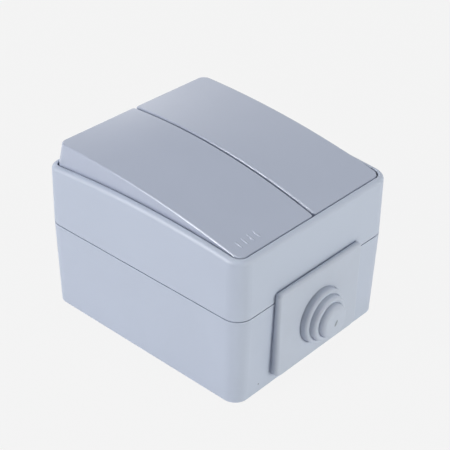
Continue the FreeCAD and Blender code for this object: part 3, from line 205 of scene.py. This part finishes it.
def moulded_silicone(name, colour):
    """Silicone rubber, moulded thin: a little light passes through, and it looks faintly oily."""
    material, tree, output, place = new_material(name)
    haze = noise(tree, place, size_mm=3, detail=3)
    surface = add(tree, "ShaderNodeBsdfPrincipled", {
        "Base Color": mottled(tree, haze, colour, 0.93, 1.07),
        "Roughness": between(tree, haze, 0.38, 0.48),
        "IOR": 1.41,
        "Subsurface Weight": 0.15,
        "Subsurface Radius": (0.6 * MM, 0.6 * MM, 0.7 * MM),
        "Subsurface Scale": 1.0,
    })
    tree.links.new(surface.outputs[0], output.inputs["Surface"])
    return material


def pressed_thermoset(name, colour):
    """Urea thermoset, hot pressed: dense and matt, with fine pale specks of filler."""
    material, tree, output, place = new_material(name)
    specks = add(tree, "ShaderNodeTexVoronoi", {
        "Vector": place,
        "Scale": per_mm(0.7),
        "Randomness": 1.0,
    })
    spots = add(tree, "ShaderNodeMapRange", {
        "Value": specks.outputs["Distance"],
        "From Min": 0.05,
        "From Max": 0.35,
        "To Min": 1.0,
        "To Max": 0.0,
    }).outputs["Result"]
    cloud = noise(tree, place, size_mm=8, detail=3)
    base = mottled(tree, cloud, colour, 0.95, 1.02)
    surface = add(tree, "ShaderNodeBsdfPrincipled", {
        "Base Color": blend_colours(tree, spots, base, shade(colour, 1.12)),
        "Roughness": between(tree, cloud, 0.5, 0.6),
        "IOR": 1.55,
    })
    tree.links.new(surface.outputs[0], output.inputs["Surface"])
    return material


def moulded_engineering_plastic(name, colour, roughness, ior):
    """Nylon or acetal, injection moulded: slick, with fine drag lines along the sliding faces."""
    material, tree, output, place = new_material(name)
    upright = add(tree, "ShaderNodeMapping", {"Vector": place, "Scale": (1.0, 1.0, 0.12)})
    drag = noise(tree, upright.outputs[0], size_mm=0.5, detail=4)
    surface = add(tree, "ShaderNodeBsdfPrincipled", {
        "Base Color": mottled(tree, drag, colour, 0.94, 1.06),
        "Roughness": between(tree, drag, roughness - 0.05, roughness + 0.05),
        "IOR": ior,
        "Normal": relief(tree, drag, 0.3, 0.01),
    })
    tree.links.new(surface.outputs[0], output.inputs["Surface"])
    return material


def stamped_metal(name, colour, roughness, grain_mm, tarnish):
    """Sheet metal, rolled and stamped: fine rolling lines along Y and a slight tarnish."""
    material, tree, output, place = new_material(name)
    rolled = add(tree, "ShaderNodeMapping", {"Vector": place, "Scale": (1.0, 0.05, 1.0)})
    grain = noise(tree, rolled.outputs[0], grain_mm, detail=4, roughness=0.65)
    stain = noise(tree, place, size_mm=4, detail=4)
    bright = mottled(tree, grain, colour, 0.94, 1.05)
    stained = between(tree, stain, 0, tarnish)
    surface = add(tree, "ShaderNodeBsdfPrincipled", {
        "Base Color": blend_colours(tree, stained, bright, shade(colour, 0.6)),
        "Metallic": 1.0,
        "Roughness": between(tree, stain, roughness - 0.06, roughness + 0.08),
        "Normal": relief(tree, grain, 0.25, 0.01),
    })
    tree.links.new(surface.outputs[0], output.inputs["Surface"])
    return material


def studio_paper(name, colour, glow, bounce):
    """Paper sweep: matt and pale. The lens and the reflections see an even white by its glow, with
    a faint shadow; the glow that lights the object is the smaller share, bounce."""
    material, tree, output, place = new_material(name)
    fibre = noise(tree, place, size_mm=1.5, detail=2)
    tone = mottled(tree, fibre, colour, 0.995, 1.0)
    paper = add(tree, "ShaderNodeBsdfDiffuse", {"Color": tone})
    light = add(tree, "ShaderNodeEmission", {"Color": linear(colour), "Strength": 1.0})
    rays = add(tree, "ShaderNodeLightPath")
    seen = rays.outputs["Is Camera Ray"]
    for other in ("Is Glossy Ray", "Is Transmission Ray"):
        either = add(tree, "ShaderNodeMath", {0: seen, 1: rays.outputs[other]}, operation="MAXIMUM")
        seen = either.outputs[0]
    share = add(tree, "ShaderNodeMapRange", {"Value": seen, "To Min": bounce, "To Max": glow})
    surface = add(tree, "ShaderNodeMixShader", {
        0: share.outputs["Result"],
        1: paper.outputs[0],
        2: light.outputs[0],
    })
    tree.links.new(surface.outputs[0], output.inputs["Surface"])
    return material


# Finishes of the CAD nodes. The rockers' roughness stays below 0.27 all over and the housing's
# stays above it, because the render's noise filter treats the two ranges differently.

housing_abs = moulded_abs("moulded_abs_housing", HOUSING_BLUE_GREY,
                          roughness=0.52, grit_mm=0.35, grit_depth_mm=0.02)
rocker_abs = moulded_abs("moulded_abs_rocker", ROCKER_BLUE_GREY,
                         roughness=0.23, grit_mm=0.3, grit_depth_mm=0.01)
gate_scar = moulded_abs("sheared_abs_gate", GATE_GREY,
                        roughness=0.55, grit_mm=0.2, grit_depth_mm=0.02)
grommet_rubber = moulded_rubber("moulded_rubber_grommet", GROMMET_BLUE_GREY,
                                roughness=0.6, bloom=0.02)
# The slit's rubber is drawn darker than the grommet's: painted shade for the inside of the cut.
slit_painted_shade_rubber = moulded_rubber("rubber_slit_painted_shade", SLIT_PAINTED_SHADE, roughness=0.7, bloom=0.02)
seal_rubber = moulded_rubber("moulded_rubber_seal", SEAL_BLACK, roughness=0.55, bloom=0.15)
membrane_silicone = moulded_silicone("moulded_silicone_membrane", SILICONE_GREY)
mechanism_urea = pressed_thermoset("pressed_urea_mechanism", THERMOSET_IVORY)
cradle_nylon = moulded_engineering_plastic("moulded_nylon_cradle", NYLON_GRAPHITE,
                                           roughness=0.45, ior=1.53)
plunger_acetal = moulded_engineering_plastic("moulded_acetal_plunger", ACETAL_WHITE,
                                             roughness=0.35, ior=1.48)
spring_wire = stamped_metal("drawn_steel_spring", SPRING_STEEL,
                            roughness=0.3, grain_mm=0.15, tarnish=0.1)
bridge_copper = stamped_metal("stamped_copper_bridge", COPPER_ALLOY,
                              roughness=0.32, grain_mm=0.12, tarnish=0.35)
terminal_brass = stamped_metal("stamped_brass_terminal", BRASS,
                               roughness=0.3, grain_mm=0.12, tarnish=0.3)
screw_zinc = stamped_metal("zinc_plated_steel_screw", ZINC_PLATE,
                           roughness=0.34, grain_mm=0.2, tarnish=0.2)

FINISHES = {
    "base_box": housing_abs,
    "cover_frame": housing_abs,
    "rocker_left": rocker_abs,
    "rocker_right": rocker_abs,
    "cable_entry_grommet": grommet_rubber,
    "cover_gasket": seal_rubber,
    "cover_screw_seals": seal_rubber,
    "sealing_membrane": membrane_silicone,
    "membrane_retainer": mechanism_urea,
    "mechanism_body": mechanism_urea,
    "mechanism_top": mechanism_urea,
    "cradle_left": cradle_nylon,
    "cradle_right": cradle_nylon,
    "plunger_left": plunger_acetal,
    "plunger_right": plunger_acetal,
    "detent_spring_left": spring_wire,
    "detent_spring_right": spring_wire,
    "contact_bridge_left": bridge_copper,
    "contact_bridge_right": bridge_copper,
    "common_terminal_left": terminal_brass,
    "common_terminal_right": terminal_brass,
    "load_terminal_left": terminal_brass,
    "load_terminal_right": terminal_brass,
    "terminal_screws": screw_zinc,
    "mechanism_screws": screw_zinc,
    "cover_screws": screw_zinc,
}
for node_name, finish in FINISHES.items():
    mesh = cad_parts[node_name].data
    mesh.materials.clear()
    mesh.materials.append(finish)


# Small moulded details that sit on the CAD nodes, and a dark oval of painted shade for the cable
# entry's slit. Their sizes and places are in millimetres.

OUTSIDE = 80  # farther out than any surface of the object

RIB_PLACES_X = (-26.4, -24.0, -21.6, -19.2)
RIB_START_Y, RIB_LENGTH = -33.2, 2.9
RIB_WIDTH, RIB_RISE = 0.7, 0.13
RIB_STEPS, RIB_SIDES = 14, 16

DOT_SIDES = 20
DOT_SUNK = 0.05  # how far the dot's rim lies under the surface
DOT_CROWN_SHARE = 0.85


def surface_of(node_name):
    """The node's mesh as a tree that rays can be cast at, in millimetres."""
    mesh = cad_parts[node_name].data
    corners = [vertex.co / MM for vertex in mesh.vertices]
    return BVHTree.FromPolygons(corners, [face.vertices for face in mesh.polygons])


def round_steps(count):
    """Angles all the way round, in even steps."""
    return [math.tau * k / count for k in range(count)]


def add_piece(name, form, body, finish):
    """Turn a bmesh in millimetres into a piece of the scene that rides on a body."""
    form.normal_update()
    bmesh.ops.recalc_face_normals(form, faces=form.faces)
    for vertex in form.verts:
        vertex.co *= MM
    for face in form.faces:
        face.smooth = True
    mesh = bpy.data.meshes.new(name)
    form.to_mesh(mesh)
    form.free()
    mesh.materials.append(finish)
    piece = bpy.data.objects.new(name, mesh)
    bpy.context.scene.collection.objects.link(piece)
    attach(piece, body)


def lay_rib(form, path):
    """Rounded rib along a path of (point, surface normal), half sunk in the surface. It runs
    out to a point at each end."""
    rings = []
    last = len(path) - 1
    for i, (point, normal) in enumerate(path):
        if i in (0, last):
            rings.append([form.verts.new(point)] * RIB_SIDES)
            continue
        along = (path[i + 1][0] - path[i - 1][0]).normalized()
        across = along.cross(normal).normalized()
        share = 2 * i / last - 1
        swell = math.sqrt(1 - share ** 4)
        rings.append([
            form.verts.new(point + across * (RIB_WIDTH / 2 * math.cos(angle) * swell)
                           + normal * (RIB_RISE * math.sin(angle) * swell))
            for angle in round_steps(RIB_SIDES)
        ])
    for first, second in zip(rings, rings[1:]):
        for k in range(RIB_SIDES):
            after = (k + 1) % RIB_SIDES
            # Keeps each corner once, so the faces at the ends are triangles.
            corners = dict.fromkeys((first[k], second[k], second[after], first[after]))
            form.faces.new(list(corners))


def raise_touch_ribs():
    """Four short ribs near the front corner of the left rocker, to find it by touch."""
    top = surface_of("rocker_left")
    form = bmesh.new()
    for place_x in RIB_PLACES_X:
        path = []
        for step in range(RIB_STEPS + 1):
            place_y = RIB_START_Y + RIB_LENGTH * step / RIB_STEPS
            above = Vector((place_x, place_y, OUTSIDE))
            point, normal, _, _ = top.ray_cast(above, Vector((0, 0, -1)))
            path.append((point, normal))
        lay_rib(form, path)
    add_piece("touch_ribs", form, "rocker_left", rocker_abs)


def flat_dot(name, node_name, place, drop, half_wide, half_high, lean, proud, finish):
    """A flat oval, a little proud of the front end wall. Its middle is below a place, given by
    its X and Z, where the wall is flat, and its top leans towards +X by an angle in degrees."""
    form = bmesh.new()
    start = Vector((place[0], -OUTSIDE, place[1]))
    centre, normal, _, _ = surface_of(node_name).ray_cast(start, Vector((0, 1, 0)))
    centre = centre - Vector((0, 0, drop))
    level = Vector((math.cos(math.radians(lean)), 0, -math.sin(math.radians(lean))))
    upright = normal.cross(level)
    rings = []
    for lift, share in ((-DOT_SUNK, 1.0), (proud, DOT_CROWN_SHARE)):
        rings.append([
            form.verts.new(centre + normal * lift
                           + share * (half_wide * level * math.cos(angle)
                                      + half_high * upright * math.sin(angle)))
            for angle in round_steps(DOT_SIDES)
        ])
    rim, crown = rings
    form.faces.new(crown)
    form.faces.new(rim)
    for k in range(DOT_SIDES):
        after = (k + 1) % DOT_SIDES
        form.faces.new((rim[k], rim[after], crown[after], crown[k]))
    add_piece(name, form, "housing", finish)


def mark_gate():
    """The small dark dot low on the end wall where the plastic entered the mould."""
    flat_dot("gate_dot", "base_box", place=(-23.1, 2.75), drop=0, half_wide=0.24, half_high=0.24,
             lean=0, proud=0.05, finish=gate_scar)


def paint_slit_shade():
    """The slit in the thin web over the cable entry's nose, where the cable is pushed through. The
    web is a thin disc of the grommet's rubber. The slit is a flat oval on it, whose dark colour is
    painted shade for the inside of the cut.
    """
    flat_dot("entry_web", "cable_entry_grommet", place=(0, 18.2), drop=2.0, half_wide=1.25,
             half_high=1.25, lean=0, proud=0.02, finish=grommet_rubber)
    flat_dot("entry_slit_painted_shade", "cable_entry_grommet", place=(0.15, 18.2), drop=2.4, half_wide=0.52,
             half_high=1.15, lean=31, proud=0.05, finish=slit_painted_shade_rubber)


# The membrane is cut in four, with one dome in each quarter. The two back domes stand tall at rest,
# and the two front domes get a thinner roof.
# Heights are in millimetres.

ROOF_START, ROOF_SHARE = 37.93, 0.55  # a front dome's roof above this is thinned to this share
SAME_POINT = 0.001 * MM
SHARP_EDGE = math.radians(35)


def cut_away(form, facing):
    """Remove what lies beyond a plane through the middle, and close the cut."""
    everything = form.verts[:] + form.edges[:] + form.faces[:]
    cut = bmesh.ops.bisect_plane(form, geom=everything, plane_co=(0, 0, 0), plane_no=facing,
                                 clear_outer=True)
    rim = [part for part in cut["geom_cut"] if isinstance(part, bmesh.types.BMEdge)]
    bmesh.ops.holes_fill(form, edges=rim)


def membrane_quarter(name, side, end):
    """The quarter of the sealing membrane on one side (-1 left, 1 right) and one end (-1 front,
    1 back)."""
    form = bmesh.new()
    form.from_mesh(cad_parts["sealing_membrane"].data)
    bmesh.ops.remove_doubles(form, verts=form.verts, dist=SAME_POINT)
    cut_away(form, (-side, 0, 0))
    cut_away(form, (0, -end, 0))
    if end < 0:
        # A thinner roof, which leaves the rocker's rib free when the dome is lifted.
        for vertex in form.verts:
            over = vertex.co.z - ROOF_START * MM
            if over > 0:
                vertex.co.z -= over * (1 - ROOF_SHARE)
    bmesh.ops.recalc_face_normals(form, faces=form.faces)
    mesh = bpy.data.meshes.new(name)
    form.to_mesh(mesh)
    form.free()
    mesh.set_sharp_from_angle(angle=SHARP_EDGE)
    mesh.materials.clear()
    mesh.materials.append(membrane_silicone)
    quarter = bpy.data.objects.new(name, mesh)
    bpy.context.scene.collection.objects.link(quarter)
    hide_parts("sealing_membrane")
    return quarter


def flex_membrane():
    for gang, side in (("left", -1), ("right", 1)):
        back = membrane_quarter(f"membrane_{gang}_back", side, 1)
        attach(back, "housing")
        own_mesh(back)
        front = membrane_quarter(f"membrane_{gang}_front", side, -1)
        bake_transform(front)


raise_touch_ribs()
mark_gate()
paint_slit_shade()
flex_membrane()


# Camera, from the photograph: a long lens from the front left, above the object. Angles are in
# degrees and lengths in millimetres.

CAMERA_AZIMUTH, CAMERA_ELEVATION, CAMERA_ROLL = -48.3535, 32.9572, 1.1927
CAMERA_DISTANCE = 364.698
CAMERA_RIGHT, CAMERA_UP = 2.5733, 1.1143
CAMERA_AIM = Vector((0, 0, 27))
LENS, SENSOR = 97.278, 36


def aim_camera():
    azimuth = math.radians(CAMERA_AZIMUTH)
    elevation = math.radians(CAMERA_ELEVATION)
    roll = math.radians(CAMERA_ROLL)
    back = Vector((math.sin(azimuth) * math.cos(elevation),
                   -math.cos(azimuth) * math.cos(elevation),
                   math.sin(elevation)))
    level = Vector((math.cos(azimuth), math.sin(azimuth), 0))
    upright = back.cross(level)
    right = math.cos(roll) * level + math.sin(roll) * upright
    up = math.cos(roll) * upright - math.sin(roll) * level
    place = CAMERA_AIM + CAMERA_DISTANCE * back + CAMERA_RIGHT * right + CAMERA_UP * up
    data = bpy.data.cameras.new("studio_camera")
    data.lens = LENS
    data.sensor_width = SENSOR
    data.sensor_fit = "HORIZONTAL"
    data.clip_start = 10 * MM
    camera = bpy.data.objects.new("studio_camera", data)
    turn = Matrix((right, up, back)).transposed().to_4x4()
    camera.matrix_world = Matrix.Translation(place * MM) @ turn
    bpy.context.scene.collection.objects.link(camera)
    bpy.context.scene.camera = camera


aim_camera()


# Studio: paper sweep, soft boxes and a pale room. Each soft box has its name, the direction that
# it shines from, its distance, width and height in metres, its watts and its tint.

SOFT_BOXES = (
    ("soft_box_left", (-0.88, 0.34, 0.30), 1.6, 0.45, 0.7, 10.4, "#FFFFFF"),
    ("soft_box_right", (0.20, -0.95, 0.22), 0.9, 0.5, 0.4, 3.9, "#FFFFF6"),
    ("soft_box_back", (0.45, 0.85, 0.28), 1.0, 0.8, 0.3, 1.0, "#FFFFFF"),
    ("soft_box_top", (0.05, 0.05, 1.0), 0.9, 0.5, 0.5, 3.0, "#FFFFFF"),
    ("strip_light", (-0.73, 0.34, 0.58), 0.9, 0.32, 0.3, 1.3, "#FFFFFF"),
)
# This one is seen only as a reflection, in the edges of the rockers and of the cover.
EDGE_LIGHTS = (
    ("edge_light_left", (-0.88, 0.34, 0.32), 0.9, 0.3, 0.2, 8.0, "#FFFFFF"),
)
LAMP_AIM = Vector((0, 0, 0.03))

# The paper, in metres: flat from its near edge to the bend, then up to its top edge. It lies a
# hair under the object.
PAPER_NEAR, PAPER_MIDDLE, PAPER_BEND = -3.0, -1.0, 1.2
PAPER_RADIUS, PAPER_TOP, PAPER_HALF_WIDTH = 0.6, 1.15, 3.5
PAPER_SUNK = 0.05 * MM
PAPER_GLOW, PAPER_BOUNCE = 0.98, 0.45

# The room's brightness at the horizon, at the ceiling and behind the lens, and where it fades:
# by height, and by how far the direction agrees with the lens's side.
HORIZON_LIGHT, CEILING_LIGHT, LENS_SIDE_LIGHT = 0.42, 0.0, 0.08
CEILING_FADE = (0.45, 0.85)
LENS_SIDE_FADE = (0.35, 0.95)
LENS_SIDE = (-0.627, -0.558, 0.544)


def lay_paper():
    """Flat paper on the table that curves up into the background."""
    mesh = bpy.data.meshes.new("paper_sweep")
    form = bmesh.new()
    near = [(PAPER_NEAR, 0.0), (PAPER_MIDDLE, 0.0), (PAPER_BEND, 0.0)]
    bend = [(PAPER_BEND + PAPER_RADIUS * math.sin(a), PAPER_RADIUS * (1 - math.cos(a)))
            for a in (math.radians(5 * i) for i in range(1, 19))]
    profile = near + bend + [(PAPER_BEND + PAPER_RADIUS, PAPER_TOP)]
    azimuth = math.radians(-CAMERA_AZIMUTH)
    ahead = Vector((math.sin(azimuth), math.cos(azimuth), 0))
    across = Vector((math.cos(azimuth), -math.sin(azimuth), 0))
    rows = []
    for along, height in profile:
        middle = ahead * along + Vector((0, 0, height - PAPER_SUNK))
        rows.append([form.verts.new(middle + across * side)
                     for side in (-PAPER_HALF_WIDTH, PAPER_HALF_WIDTH)])
    for first, second in zip(rows, rows[1:]):
        face = form.faces.new((first[0], first[1], second[1], second[0]))
        face.smooth = True
    form.normal_update()
    form.to_mesh(mesh)
    form.free()
    paper = bpy.data.objects.new("paper_sweep", mesh)
    mesh.materials.append(studio_paper("studio_paper", STUDIO_PALE, PAPER_GLOW, PAPER_BOUNCE))
    bpy.context.scene.collection.objects.link(paper)


def hang_soft_box(name, direction, distance, width, height, watts, tint, sheen_only=False):
    """Rectangular soft box that faces the object's middle."""
    data = bpy.data.lights.new(name, "AREA")
    data.shape = "RECTANGLE"
    data.size = width
    data.size_y = height
    data.energy = watts
    data.color = linear(tint)[:3]
    lamp = bpy.data.objects.new(name, data)
    aim = Vector(direction).normalized()
    lamp.location = LAMP_AIM + aim * distance
    lamp.rotation_euler = aim.to_track_quat("Z", "Y").to_euler()
    lamp.visible_diffuse = not sheen_only
    bpy.context.scene.collection.objects.link(lamp)


def fade(tree, value, limits):
    """A smooth rise from 0 to 1 between two limits."""
    return add(tree, "ShaderNodeMapRange", {
        "Value": value,
        "From Min": limits[0],
        "From Max": limits[1],
    }, interpolation_type="SMOOTHSTEP").outputs["Result"]


def light_room():
    """Pale walls all round that fall off to a darker ceiling, and a dark end where the lens is."""
    world = bpy.data.worlds.new("studio_room")
    world.use_nodes = True
    tree = world.node_tree
    tree.nodes.clear()
    output = add(tree, "ShaderNodeOutputWorld")
    direction = add(tree, "ShaderNodeTexCoord").outputs["Generated"]
    height = add(tree, "ShaderNodeSeparateXYZ", {0: direction}).outputs["Z"]
    towards_lens = add(tree, "ShaderNodeVectorMath", {0: direction, 1: LENS_SIDE},
                       operation="DOT_PRODUCT").outputs["Value"]
    walls = blend_colours(tree, fade(tree, height, CEILING_FADE),
                          grey(HORIZON_LIGHT), grey(CEILING_LIGHT))
    room = blend_colours(tree, fade(tree, towards_lens, LENS_SIDE_FADE),
                         walls, grey(LENS_SIDE_LIGHT))
    light = add(tree, "ShaderNodeBackground", {"Color": room, "Strength": 1.0})
    tree.links.new(light.outputs[0], output.inputs["Surface"])
    bpy.context.scene.world = world


lay_paper()
for box in SOFT_BOXES:
    hang_soft_box(*box)
for box in EDGE_LIGHTS:
    hang_soft_box(*box, sheen_only=True)
light_room()

bpy.context.scene.view_settings.view_transform = "Standard"
